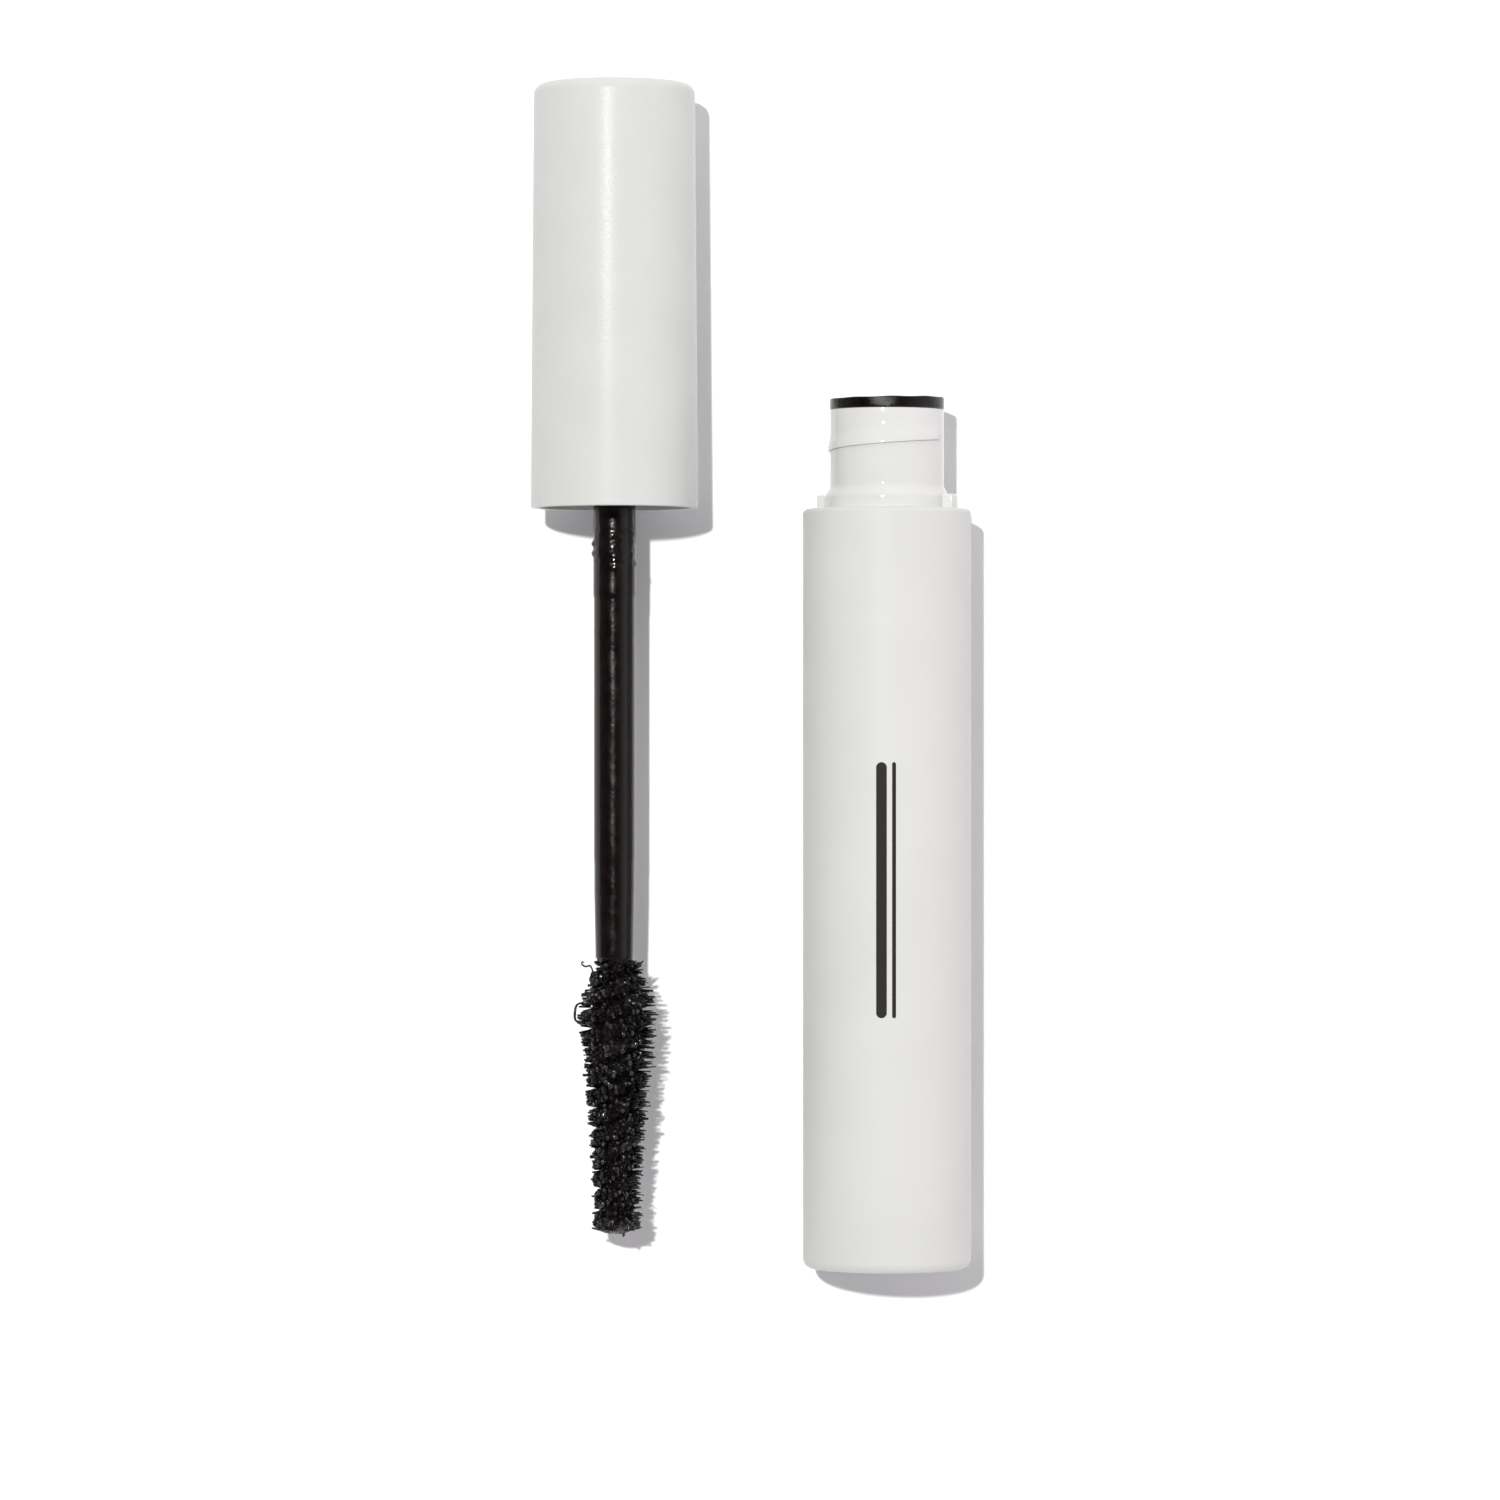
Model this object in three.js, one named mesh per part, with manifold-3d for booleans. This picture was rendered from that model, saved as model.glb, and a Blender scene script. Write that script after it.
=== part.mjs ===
// A mascara, opened: the tube lies on its side with its mouth toward +Y, and the
// wand (cap, stem and twisted-wire brush) lies beside it, brush end toward -Y.
// Millimetres, +Z up. Both axes run along Y. "Stations" are distances along Y
// from the tube's base; the wand lies at the same stations that it has when
// it is screwed home, so one set of stations places every piece.
import * as THREE from 'three';
import { mergeVertices } from 'three/addons/utils/BufferGeometryUtils.js';
import Module from 'manifold-3d';

const wasm = await Module();
wasm.setup();

// ---- Driving dimensions -----------------------------------------------------

// How the two halves lie
const layApart = 28.4; // between the two axes
const gap = 0.3; // clearance between pieces that sit inside one another

// Sleeve, the printed outer barrel
const sleeveRadius = 8.75;
const sleeveLength = 79.05;
const sleeveWall = 1.15;
const sleeveBase = 1.2;
const sleeveFootFillet = 1.0;
const sleeveRimFillet = 0.45;

// Vial, the inner bottle that carries the neck
const vialWall = 0.9;
const vialFloor = 0.8;
const flangeSeat = 0.3; // how far the vial's flange overhangs the sleeve's seat
const flangeHeight = 1.25;
const collarStep = 0.57; // from the neck out to the collar
const collarHeight = 1.35;
const flareHeight = 1.15;
const shoulderWidth = 2.82; // from the neck out to the sleeve
const neckWall = 1.15;
const neckLength = 10.35; // from the sleeve's rim to the mouth
const shoulderDepth = 2.0; // inside cone between the neck's bore and the vial's

// Screw thread
const threadPitch = 2.75;
const threadTurns = 0.94;
const threadHeight = 0.25;
const threadSlope = 1.9; // axial width of the thread's long upper slope
const threadFlank = 0.12; // axial width of its steep lower flank
const threadCrestWidth = 0.12;
const threadDrop = 3.66; // its lower edge below the mouth, where the thread crosses the top
const threadFinish = THREE.MathUtils.degToRad(66); // upper end, from +Z toward +X
const capThreadWidth = 0.7; // at its root
const capThreadCrestWidth = 0.28;
const ridgeRoot = 0.4; // how deep a ridge is rooted in the wall
const ridgeRunOut = 0.08; // share of a ridge's length over which an end sinks

// Stop lugs on the collar
const lugWidth = 2.0;
const lugHeight = 1.5;
const lugAngle = THREE.MathUtils.degToRad(20); // above the horizontal
const lugRoot = 1; // how deep a lug is rooted in the collar and the flange

// Wiper, pressed into the neck
const wiperFlangeHeight = 1.1;
const wiperWall = 0.6;
const wiperLength = 20.4; // from the mouth down to the lip
const wiperCone = 5.0;

// Mascara left in the vial
const productHeight = 45;
const productFloor = 0.6;
const channelClearance = 0.75; // between the brush's widest row and the paste

// Overcap
const capLength = 44.2;
const capParting = 0.1; // gap between the sleeve's rim and the cap's
const capInset = 0.03; // cap rim against sleeve, in radius
const capTaper = 0.33; // loss of radius from rim to top
const capWall = 0.87;
const capRoof = 1.6;
const capTopFillet = 1.15;
const capLedgeStation = 21.2; // above the cap's rim
const capLedgeWidth = 0.85;

// Inner cap, which holds the stem and screws onto the neck
const innerCapRoof = 2.0;
const innerCapCupWall = 1.2;
const leadInLength = 0.8; // at the socket's edge
const leadInDepth = 0.4;
const wiperClearance = 0.45; // from the wiper's flange up to the socket's roof
const lugClearance = 0.4; // from the lugs to the caps around and above them

// Stem
const stemRadius = 2.06;
const stemTaper = 0.13; // loss of radius toward the brush
const stemTaperLength = 7.35;
const stemHeadHeight = 3.0;

// Brush
const brushLength = 28.75;
const brushWidestRadius = 4.05;
const brushTipRadius = 2.4;
const brushRootRadius = 1.75; // where the bristles leave the stem
const brushDecay = 1.75; // how fast the bristles shorten toward the tip
const brushShoulder = 6.4; // from the stem's end to the widest row
const tipStation = 3.45; // brush tip above the tube's base
const rowCount = 18;
const rowFill = 0.62; // part of the row spacing that bristles take up
const rowPinch = 0.6; // a row's thickness at the wire, as part of its thickness outside

// Twisted wire
const wireRadius = 0.28;
const twistRadius = 0.4;
const twistPitch = 4.0;
const wireAnchor = 7.2; // length of wire held inside the stem

// Faceting
const wideFacets = 48;
const slimFacets = 24;
const rowFacets = 20;
const filletSteps = 2;
const wirePointsPerTurn = 10;
const wireSegments = 3; // half of the wire's sides
const bendSteps = 4; // at the wire's bend

// ---- Derived places ---------------------------------------------------------

const sleeveBore = sleeveRadius - sleeveWall;
const vialRadius = sleeveBore - gap;
const vialBore = vialRadius - vialWall;
const flangeRadius = sleeveBore + flangeSeat;
const flangeStation = sleeveLength - flangeHeight;
const vialFloorStation = sleeveBase + vialFloor;
const neckRadius = sleeveRadius - shoulderWidth;
const collarRadius = neckRadius + collarStep;
const neckBore = neckRadius - neckWall;
const mouthStation = sleeveLength + neckLength;

const threadCrest = neckRadius + threadHeight;
const threadFoot = mouthStation - threadDrop;

const wiperRadius = neckBore - gap;
const wiperBore = wiperRadius - wiperWall;
const lipStation = mouthStation - wiperLength;
const lipBore = stemRadius + gap;
const wiperTop = mouthStation + wiperFlangeHeight;

const capStation = sleeveLength + capParting;
const capTopStation = capStation + capLength;
const capRimRadius = sleeveRadius - capInset;
const capTopRadius = capRimRadius - capTaper;
const capRimBore = capRimRadius - capWall;
const lugTip = capRimBore - lugClearance;
const capLedge = capStation + capLedgeStation;
const capCeiling = capTopStation - capRoof;

const innerCapEdge = sleeveLength + lugHeight + lugClearance;
const innerCapRadius = capBoreAt(capLedge) - gap;
const socketBore = threadCrest + gap;
const socketRoof = wiperTop + wiperClearance;
const headSeat = socketRoof + innerCapRoof;
const headRadius = innerCapRadius - innerCapCupWall - gap;

const stemEnd = tipStation + brushLength;
const stemTipRadius = stemRadius - stemTaper;
const wireOuter = wireRadius + twistRadius;
const wireBore = wireOuter + gap;
const rowSpacing = brushLength / rowCount;

const productRadius = vialBore - gap;
const channelRadius = brushWidestRadius + channelClearance;

const axisHeight = sleeveRadius;
const halfWidth = (layApart + sleeveRadius + capRimRadius) / 2;
const tubeX = halfWidth - sleeveRadius;
const wandX = tubeX - layApart;
const baseY = -capTopStation / 2;

// Radius inside the cap's lower skirt, which tapers as the outside does.
function capBoreAt(station) {
  return capRimBore - capTaper * (station - capStation) / capLength;
}

// ---- Solids -----------------------------------------------------------------

// Keeps positions only, welds equal vertices and drops empty triangles.
function welded(geometry) {
  const bare = geometry.clone();
  bare.deleteAttribute('normal');
  bare.deleteAttribute('uv');
  const merged = mergeVertices(bare, 1e-4);
  const index = merged.getIndex().array;
  const kept = [];
  for (let i = 0; i < index.length; i += 3) {
    const [a, b, c] = [index[i], index[i + 1], index[i + 2]];
    if (a !== b && b !== c && c !== a) kept.push(a, b, c);
  }
  merged.setIndex(kept);
  return merged;
}

function toManifold(geometry) {
  const solid = welded(geometry);
  return new wasm.Manifold(new wasm.Mesh({
    numProp: 3,
    vertProperties: new Float32Array(solid.getAttribute('position').array),
    triVerts: new Uint32Array(solid.getIndex().array),
  }));
}

function toGeometry(manifold) {
  const mesh = manifold.getMesh();
  const geometry = new THREE.BufferGeometry();
  geometry.setAttribute('position', new THREE.BufferAttribute(mesh.vertProperties, 3));
  geometry.setIndex(new THREE.BufferAttribute(mesh.triVerts, 1));
  return geometry;
}

function joined(...geometries) {
  return toGeometry(geometries.map(toManifold).reduce((whole, piece) => whole.add(piece)));
}

// Turns an outline of (radius, station) about the Y axis. The flats touch the
// true circle, and one of them faces straight down.
function turned(outline, facets) {
  const half = Math.PI / facets;
  const points = outline.getPoints(filletSteps)
    .map((p) => new THREE.Vector2(Math.max(p.x, 0) / Math.cos(half), p.y));
  return welded(new THREE.LatheGeometry(points, facets, half));
}

function outlineFrom(radius, station) {
  return new THREE.Path().moveTo(radius, station);
}

// One screw ridge: a straight bar, whose section is (reach from the surface, up),
// is wound on a right-handed helix about Y and sinks into the surface at both
// ends. side is 1 on the outside of a cylinder and -1 inside a bore. The section's
// zero height is at station foot where the helix passes +Z.
function screwRidge(section, surfaceRadius, side, turns, finish, foot) {
  const steps = Math.round(turns * wideFacets);
  const bar = new THREE.ExtrudeGeometry(section, { depth: 1, steps, bevelEnabled: false });
  const place = bar.getAttribute('position');
  for (let i = 0; i < place.count; i += 1) {
    const along = place.getZ(i);
    const rise = Math.min(1, Math.min(along, 1 - along) / ridgeRunOut);
    const reach = place.getX(i);
    const lifted = reach > 0 ? THREE.MathUtils.lerp(-ridgeRoot / 2, reach, rise) : reach;
    const radius = surfaceRadius + side * lifted;
    const behind = side > 0 ? along : 1 - along;
    const angle = finish - behind * turns * 2 * Math.PI;
    const station = foot + place.getY(i) + angle / (2 * Math.PI) * threadPitch;
    place.setXYZ(i, radius * Math.sin(angle), station, radius * Math.cos(angle));
  }
  return bar;
}

// ---- Tube -------------------------------------------------------------------

// Barrel with a closed, rounded foot and a seat for the vial's flange.
function sleeveSolid() {
  const rimBore = flangeRadius + gap;
  const outline = outlineFrom(0, 0)
    .lineTo(sleeveRadius - sleeveFootFillet, 0)
    .absarc(sleeveRadius - sleeveFootFillet, sleeveFootFillet, sleeveFootFillet, -Math.PI / 2, 0)
    .lineTo(sleeveRadius, sleeveLength - sleeveRimFillet)
    .absarc(sleeveRadius - sleeveRimFillet, sleeveLength - sleeveRimFillet,
      sleeveRimFillet, 0, Math.PI / 2)
    .lineTo(rimBore, sleeveLength)
    .lineTo(rimBore, flangeStation)
    .lineTo(sleeveBore, flangeStation)
    .lineTo(sleeveBore, sleeveBase)
    .lineTo(0, sleeveBase);
  return turned(outline, wideFacets);
}

// Buttress section: a steep lower flank, a sharp crest and a long upper slope.
function neckThread() {
  const section = new THREE.Shape()
    .moveTo(-ridgeRoot, -threadFlank)
    .lineTo(0, 0)
    .lineTo(threadHeight, threadFlank)
    .lineTo(threadHeight, threadFlank + threadCrestWidth)
    .lineTo(0, threadSlope)
    .lineTo(-ridgeRoot, threadSlope + threadFlank);
  return screwRidge(section, neckRadius, 1, threadTurns, threadFinish, threadFoot);
}

// A stop lug stands on the flange and grows out of the collar.
function stopLug(angle) {
  const foot = collarRadius - lugRoot;
  const lug = new THREE.BoxGeometry(lugTip - foot, lugHeight + lugRoot, lugWidth);
  lug.translate((lugTip + foot) / 2, sleeveLength + (lugHeight - lugRoot) / 2, 0);
  return lug.rotateY(angle);
}

// Inner bottle: floor, wall, flange, collar, flare, neck and stepped bore.
function vialSolid() {
  const collarTop = sleeveLength + collarHeight;
  const boreEnd = flangeStation;
  const outline = outlineFrom(0, sleeveBase)
    .lineTo(vialRadius, sleeveBase)
    .lineTo(vialRadius, flangeStation)
    .lineTo(flangeRadius, flangeStation)
    .lineTo(flangeRadius, sleeveLength)
    .lineTo(collarRadius, sleeveLength)
    .lineTo(collarRadius, collarTop)
    .quadraticCurveTo(neckRadius, collarTop, neckRadius, collarTop + flareHeight)
    .lineTo(neckRadius, mouthStation)
    .lineTo(neckBore, mouthStation)
    .lineTo(neckBore, boreEnd)
    .lineTo(vialBore, boreEnd - shoulderDepth)
    .lineTo(vialBore, vialFloorStation)
    .lineTo(0, vialFloorStation);
  const body = turned(outline, wideFacets);
  return joined(body, neckThread(), stopLug(lugAngle), stopLug(lugAngle + Math.PI));
}

// Flanged sleeve that narrows to a lip, which strips the stem as it comes out.
function wiperSolid() {
  const coneStation = lipStation + wiperCone;
  const outline = outlineFrom(lipBore, lipStation)
    .lineTo(lipBore + wiperWall, lipStation)
    .lineTo(wiperRadius, coneStation)
    .lineTo(wiperRadius, mouthStation)
    .lineTo(neckRadius, mouthStation)
    .lineTo(neckRadius, wiperTop)
    .lineTo(wiperBore, wiperTop)
    .lineTo(wiperBore, coneStation)
    .lineTo(lipBore, lipStation + wiperWall)
    .closePath();
  return turned(outline, wideFacets);
}

// What is left of the filling, with the channel that the brush has cut in it.
function productSolid() {
  const top = vialFloorStation + productHeight;
  const bottom = vialFloorStation + productFloor;
  const outline = outlineFrom(0, vialFloorStation)
    .lineTo(productRadius, vialFloorStation)
    .lineTo(productRadius, top)
    .lineTo(channelRadius, top)
    .lineTo(channelRadius, bottom)
    .lineTo(0, bottom);
  return turned(outline, slimFacets);
}

// ---- Wand -------------------------------------------------------------------

// Long cap, open at the rim; a ledge inside it stops the inner cap.
function overcapSolid() {
  const ledgeBore = capBoreAt(capLedge) - capLedgeWidth;
  const ceilingBore = capBoreAt(capCeiling) - capLedgeWidth;
  const outline = outlineFrom(0, capCeiling)
    .lineTo(ceilingBore, capCeiling)
    .lineTo(ledgeBore, capLedge)
    .lineTo(capBoreAt(capLedge), capLedge)
    .lineTo(capRimBore, capStation)
    .lineTo(capRimRadius, capStation)
    .lineTo(capTopRadius, capTopStation - capTopFillet)
    .absarc(capTopRadius - capTopFillet, capTopStation - capTopFillet, capTopFillet, 0, Math.PI / 2)
    .lineTo(0, capTopStation);
  return turned(outline, wideFacets);
}

// The mating ridge lies under the neck's thread when the cap is screwed home.
function capThread() {
  const section = new THREE.Shape()
    .moveTo(-ridgeRoot, -capThreadWidth / 2)
    .lineTo(threadHeight, -capThreadCrestWidth / 2)
    .lineTo(threadHeight, capThreadCrestWidth / 2)
    .lineTo(-ridgeRoot, capThreadWidth / 2);
  const foot = threadFoot - capThreadWidth;
  return screwRidge(section, socketBore, -1, threadTurns, threadFinish, foot);
}

// Threaded socket below, a roof that the stem passes through, a cup above it.
function innerCapSolid() {
  const outline = outlineFrom(socketBore + leadInDepth, innerCapEdge)
    .lineTo(innerCapRadius, innerCapEdge)
    .lineTo(innerCapRadius, capLedge)
    .lineTo(headRadius + gap, capLedge)
    .lineTo(headRadius + gap, headSeat)
    .lineTo(stemRadius + gap, headSeat)
    .lineTo(stemRadius + gap, socketRoof)
    .lineTo(socketBore, socketRoof)
    .lineTo(socketBore, innerCapEdge + leadInLength)
    .closePath();
  return joined(turned(outline, wideFacets), capThread());
}

// Rod with a head that sits on the inner cap's roof, a slim tapered end and a
// blind bore for the wire.
function stemSolid() {
  const boreEnd = stemEnd + wireAnchor + gap;
  const outline = outlineFrom(0, boreEnd)
    .lineTo(wireBore, boreEnd)
    .lineTo(wireBore, stemEnd)
    .lineTo(stemTipRadius, stemEnd)
    .lineTo(stemRadius, stemEnd + stemTaperLength)
    .lineTo(stemRadius, headSeat)
    .lineTo(headRadius, headSeat)
    .lineTo(headRadius, headSeat + stemHeadHeight)
    .lineTo(0, headSeat + stemHeadHeight);
  return turned(outline, slimFacets);
}

// One wire, bent double at the brush's tip, its two legs twisted together.
function wireSolid() {
  const bend = tipStation + wireOuter;
  const top = stemEnd + wireAnchor;
  const count = Math.round((top - bend) / twistPitch * wirePointsPerTurn);
  const leg = (turn) => Array.from({ length: count + 1 }, (_, i) => {
    const station = bend + (top - bend) * i / count;
    const angle = 2 * Math.PI * ((station - bend) / twistPitch + turn);
    return new THREE.Vector3(twistRadius * Math.sin(angle), station, twistRadius * Math.cos(angle));
  });
  const nose = new THREE.Vector3(0, bend - twistRadius, 0);
  const route = new THREE.CatmullRomCurve3([...leg(0).reverse(), nose, ...leg(0.5)]);
  const section = new THREE.Shape().absarc(0, 0, wireRadius, 0, 2 * Math.PI);
  return welded(new THREE.ExtrudeGeometry(section, {
    extrudePath: route,
    steps: 2 * count + bendSteps,
    curveSegments: wireSegments,
    bevelEnabled: false,
  }));
}

// Radius of the bristles at a station: a quarter wave up to the widest row,
// then a long decay to the tip.
function brushRadiusAt(station) {
  const fromStem = stemEnd - station;
  if (fromStem < brushShoulder) {
    const swell = Math.sin(Math.PI / 2 * fromStem / brushShoulder);
    return THREE.MathUtils.lerp(brushRootRadius, brushWidestRadius, swell);
  }
  const along = (fromStem - brushShoulder) / (brushLength - brushShoulder);
  return THREE.MathUtils.lerp(brushTipRadius, brushWidestRadius, (1 - along) ** brushDecay);
}

// One turn of bristles, packed round the wire and fanning out toward the edge.
function rowSolid(station) {
  const rim = rowSpacing * rowFill / 2;
  const root = rim * rowPinch;
  const radius = brushRadiusAt(station);
  const outline = outlineFrom(wireBore, station - root)
    .lineTo(radius, station - rim)
    .lineTo(radius, station + rim)
    .lineTo(wireBore, station + root)
    .closePath();
  return turned(outline, rowFacets);
}

// ---- Materials --------------------------------------------------------------

function plastic(color, roughness) {
  return new THREE.MeshStandardMaterial({ color, roughness, metalness: 0 });
}

const capPlastic = () => plastic(0xe9e7ea, 0.55);
const sleevePlastic = () => plastic(0xe8e7e8, 0.35);
const vialPlastic = () => plastic(0xe6e5e8, 0.3);
const innerPlastic = () => plastic(0xdedde0, 0.45);
const blackPlastic = () => plastic(0x1b1615, 0.3);
const softBlack = () => plastic(0x16110f, 0.25);
const paste = () => plastic(0x0d0909, 0.2);
const fibre = () => plastic(0x141010, 0.45);
const steel = () => new THREE.MeshStandardMaterial({ color: 0x8d8a88, roughness: 0.3, metalness: 1 });

// ---- Assembly ---------------------------------------------------------------

function piece(name, geometry, material) {
  const mesh = new THREE.Mesh(geometry, material);
  mesh.name = name;
  return mesh;
}

function laid(x, ...pieces) {
  const group = new THREE.Group();
  group.position.set(x, baseY, axisHeight);
  group.add(...pieces);
  return group;
}

const bristleRows = Array.from({ length: rowCount }, (_, i) => {
  const station = stemEnd - (i + 0.5) * rowSpacing;
  return piece(`bristle_row_${String(i + 1).padStart(2, '0')}`, rowSolid(station), fibre());
});

const tube = laid(
  tubeX,
  piece('sleeve', sleeveSolid(), sleevePlastic()),
  piece('vial', vialSolid(), vialPlastic()),
  piece('wiper', wiperSolid(), softBlack()),
  piece('product', productSolid(), paste()),
);

const wand = laid(
  wandX,
  piece('overcap', overcapSolid(), capPlastic()),
  piece('inner_cap', innerCapSolid(), innerPlastic()),
  piece('stem', stemSolid(), blackPlastic()),
  piece('brush_wire', wireSolid(), steel()),
  ...bristleRows,
);

const mascara = new THREE.Group();
mascara.add(tube, wand);

export default mascara;
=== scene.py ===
"""An opened mascara on a white table: the tube, and its wand lying beside it.

Metres, in the row frame: +Z up, both axes along Y, the tube on the +X side and
the wand on the -X side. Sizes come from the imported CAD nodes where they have
them; finer ones are named below, in millimetres.
"""
import math
import random

import bmesh
import bpy
import numpy as np
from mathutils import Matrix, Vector, noise


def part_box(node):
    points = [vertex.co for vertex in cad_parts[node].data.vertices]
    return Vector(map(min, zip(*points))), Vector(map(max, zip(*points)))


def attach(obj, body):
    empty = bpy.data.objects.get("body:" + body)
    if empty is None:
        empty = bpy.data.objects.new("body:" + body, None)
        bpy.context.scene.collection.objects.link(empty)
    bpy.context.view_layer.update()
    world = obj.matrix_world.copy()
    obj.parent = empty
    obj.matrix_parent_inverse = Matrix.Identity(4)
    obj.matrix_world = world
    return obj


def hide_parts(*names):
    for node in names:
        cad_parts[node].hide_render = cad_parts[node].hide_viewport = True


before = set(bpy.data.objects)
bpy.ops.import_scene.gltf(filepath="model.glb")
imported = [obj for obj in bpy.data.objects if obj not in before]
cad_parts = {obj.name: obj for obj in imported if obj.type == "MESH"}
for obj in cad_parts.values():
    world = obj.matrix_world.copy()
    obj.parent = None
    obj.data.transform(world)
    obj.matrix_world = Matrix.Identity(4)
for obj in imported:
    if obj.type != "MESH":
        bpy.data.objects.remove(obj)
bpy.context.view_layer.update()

MM = 0.001
TURN = 2 * math.pi
SEED = 20
ROW_NODES = sorted(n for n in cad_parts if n.startswith("bristle_row"))

# Fine sizes that the CAD nodes' boxes don't give, in millimetres
SLEEVE_WALL, SLEEVE_BASE, FOOT_FILLET, RIM_FILLET = 1.15, 1.2, 1.0, 0.5
SEAM = 0.04  # between the sleeve's rim and the vial's flange
FLANGE_HEIGHT, COLLAR_RADIUS, COLLAR_HEIGHT, FLARE_HEIGHT = 1.25, 6.5, 1.35, 1.15
NECK_WALL, VIAL_WALL, VIAL_FLOOR, SHOULDER_DEPTH = 1.15, 0.9, 0.8, 2.0
THREAD_PITCH, THREAD_TURNS, THREAD_HEIGHT, THREAD_SLOPE = 2.75, 0.94, 0.25, 1.9
THREAD_DROP, THREAD_FINISH = 3.66, math.radians(66)
LUG_REACH, LUG_WIDTH, LUG_HEIGHT, LUG_ANGLE = 0.95, 2.0, 1.5, math.radians(20)
WIPER_WALL, WIPER_CONE, LIP_BORE = 0.6, 5.0, 2.36
CAP_WALL, CAP_ROOF, CAP_TAPER, CAP_TOP_FILLET = 0.87, 1.6, 0.33, 1.15
LEDGE_WIDTH = 0.85
ROOF_GAP, ROOF_THICKNESS = 0.45, 2.0  # from the wiper to the inner cap's roof, and the roof
FIT = 0.3  # between parts that slide or screw into one another
STEM_RADIUS, STEM_TIP_RADIUS, STEM_TAPER = 2.06, 1.93, 7.35
WIRE_RADIUS, TWIST_RADIUS, TWIST_PITCH = 0.28, 0.4, 4.0


class Turned:
    """Axis, widest radius and ends of one round CAD node."""

    def __init__(self, node):
        low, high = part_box(node)
        self.x, self.z = (low.x + high.x) / 2, (low.z + high.z) / 2
        self.radius = (high.x - low.x) / 2
        self.start, self.end = low.y, high.y


sleeve, vial, wiper, paste = map(Turned, ("sleeve", "vial", "wiper", "product"))
cap, inner_cap, stem, wire = map(Turned, ("overcap", "inner_cap", "stem", "brush_wire"))
rows = [Turned(n) for n in ROW_NODES]


# ---- Mesh making ------------------------------------------------------------

def rounded(corners, steps=6, closed=False):
    """Outline through (radius, y, fillet) corners in mm, each one an arc."""
    pts = [(np.array(c[:2], float), c[2] if len(c) > 2 else 0.0) for c in corners]
    outline = []
    for i, (p, fillet) in enumerate(pts):
        if fillet == 0 or (not closed and i in (0, len(pts) - 1)):
            outline.append(p)
            continue
        a, b = pts[i - 1][0] - p, pts[(i + 1) % len(pts)][0] - p
        a, b = a / np.linalg.norm(a), b / np.linalg.norm(b)
        half = math.acos(np.clip(a @ b, -1, 1)) / 2
        centre = p + (a + b) / np.linalg.norm(a + b) * fillet / math.sin(half)
        first, last = p + a * fillet / math.tan(half), p + b * fillet / math.tan(half)
        u, v = first - centre, last - centre
        arc = math.acos(np.clip(u @ v / fillet**2, -1, 1))
        for k in range(steps + 1):
            t = k / steps
            mix = (math.sin((1 - t) * arc) * u + math.sin(t * arc) * v) / math.sin(arc)
            outline.append(centre + mix)
    return outline


def dense(outline, step):
    """The same outline with points no further apart than step."""
    out = [outline[0]]
    for p, q in zip(outline, outline[1:]):
        n = max(1, math.ceil(np.linalg.norm(q - p) / step))
        out += [p + (q - p) * (k + 1) / n for k in range(n)]
    return out


def mesh_object(name, verts, faces, sharp=35):
    """A smooth-shaded object, with edges sharper than that angle kept crisp."""
    mesh = bpy.data.meshes.new(name)
    mesh.from_pydata(np.asarray(verts, float).tolist(), [], faces)
    mesh.update()
    mesh.polygons.foreach_set("use_smooth", [True] * len(mesh.polygons))
    if sharp:
        mesh.set_sharp_from_angle(angle=math.radians(sharp))
    piece = bpy.data.objects.new(name, mesh)
    bpy.context.scene.collection.objects.link(piece)
    return piece


def from_bmesh(name, work):
    """An object in the scene made of a finished bmesh, which is then freed."""
    mesh = bpy.data.meshes.new(name)
    work.to_mesh(mesh)
    work.free()
    piece = bpy.data.objects.new(name, mesh)
    bpy.context.scene.collection.objects.link(piece)
    return piece


def lathe(name, axis, outline, around=160, closed=False, relief=None, sharp=35):
    """Turns an outline of (radius, y) in mm about a node's axis. relief(r, y,
    angle) gives how far each point of a ring stands proud, in mm; angles run
    from +Z toward +X."""
    angle = np.arange(around) / around * TURN
    verts, rings = [], []
    for r, y in outline:
        if r < 1e-6 and not closed:
            rings.append([len(verts)])
            verts.append((axis.x, y * MM, axis.z))
            continue
        radius = np.full(around, r)
        if relief is not None:
            radius = radius + relief(r, y, angle)
        rings.append(list(range(len(verts), len(verts) + around)))
        verts += list(zip(axis.x + radius * MM * np.sin(angle), [y * MM] * around,
                          axis.z + radius * MM * np.cos(angle)))
    faces = []
    pairs = list(zip(rings, rings[1:])) + ([(rings[-1], rings[0])] if closed else [])
    for low, high in pairs:
        for j in range(around):
            k = (j + 1) % around
            if len(low) == 1:
                faces.append((low[0], high[k], high[j]))
            elif len(high) == 1:
                faces.append((low[j], low[k], high[0]))
            else:
                faces.append((low[j], low[k], high[k], high[j]))
    return mesh_object(name, verts, faces, sharp)


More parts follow.
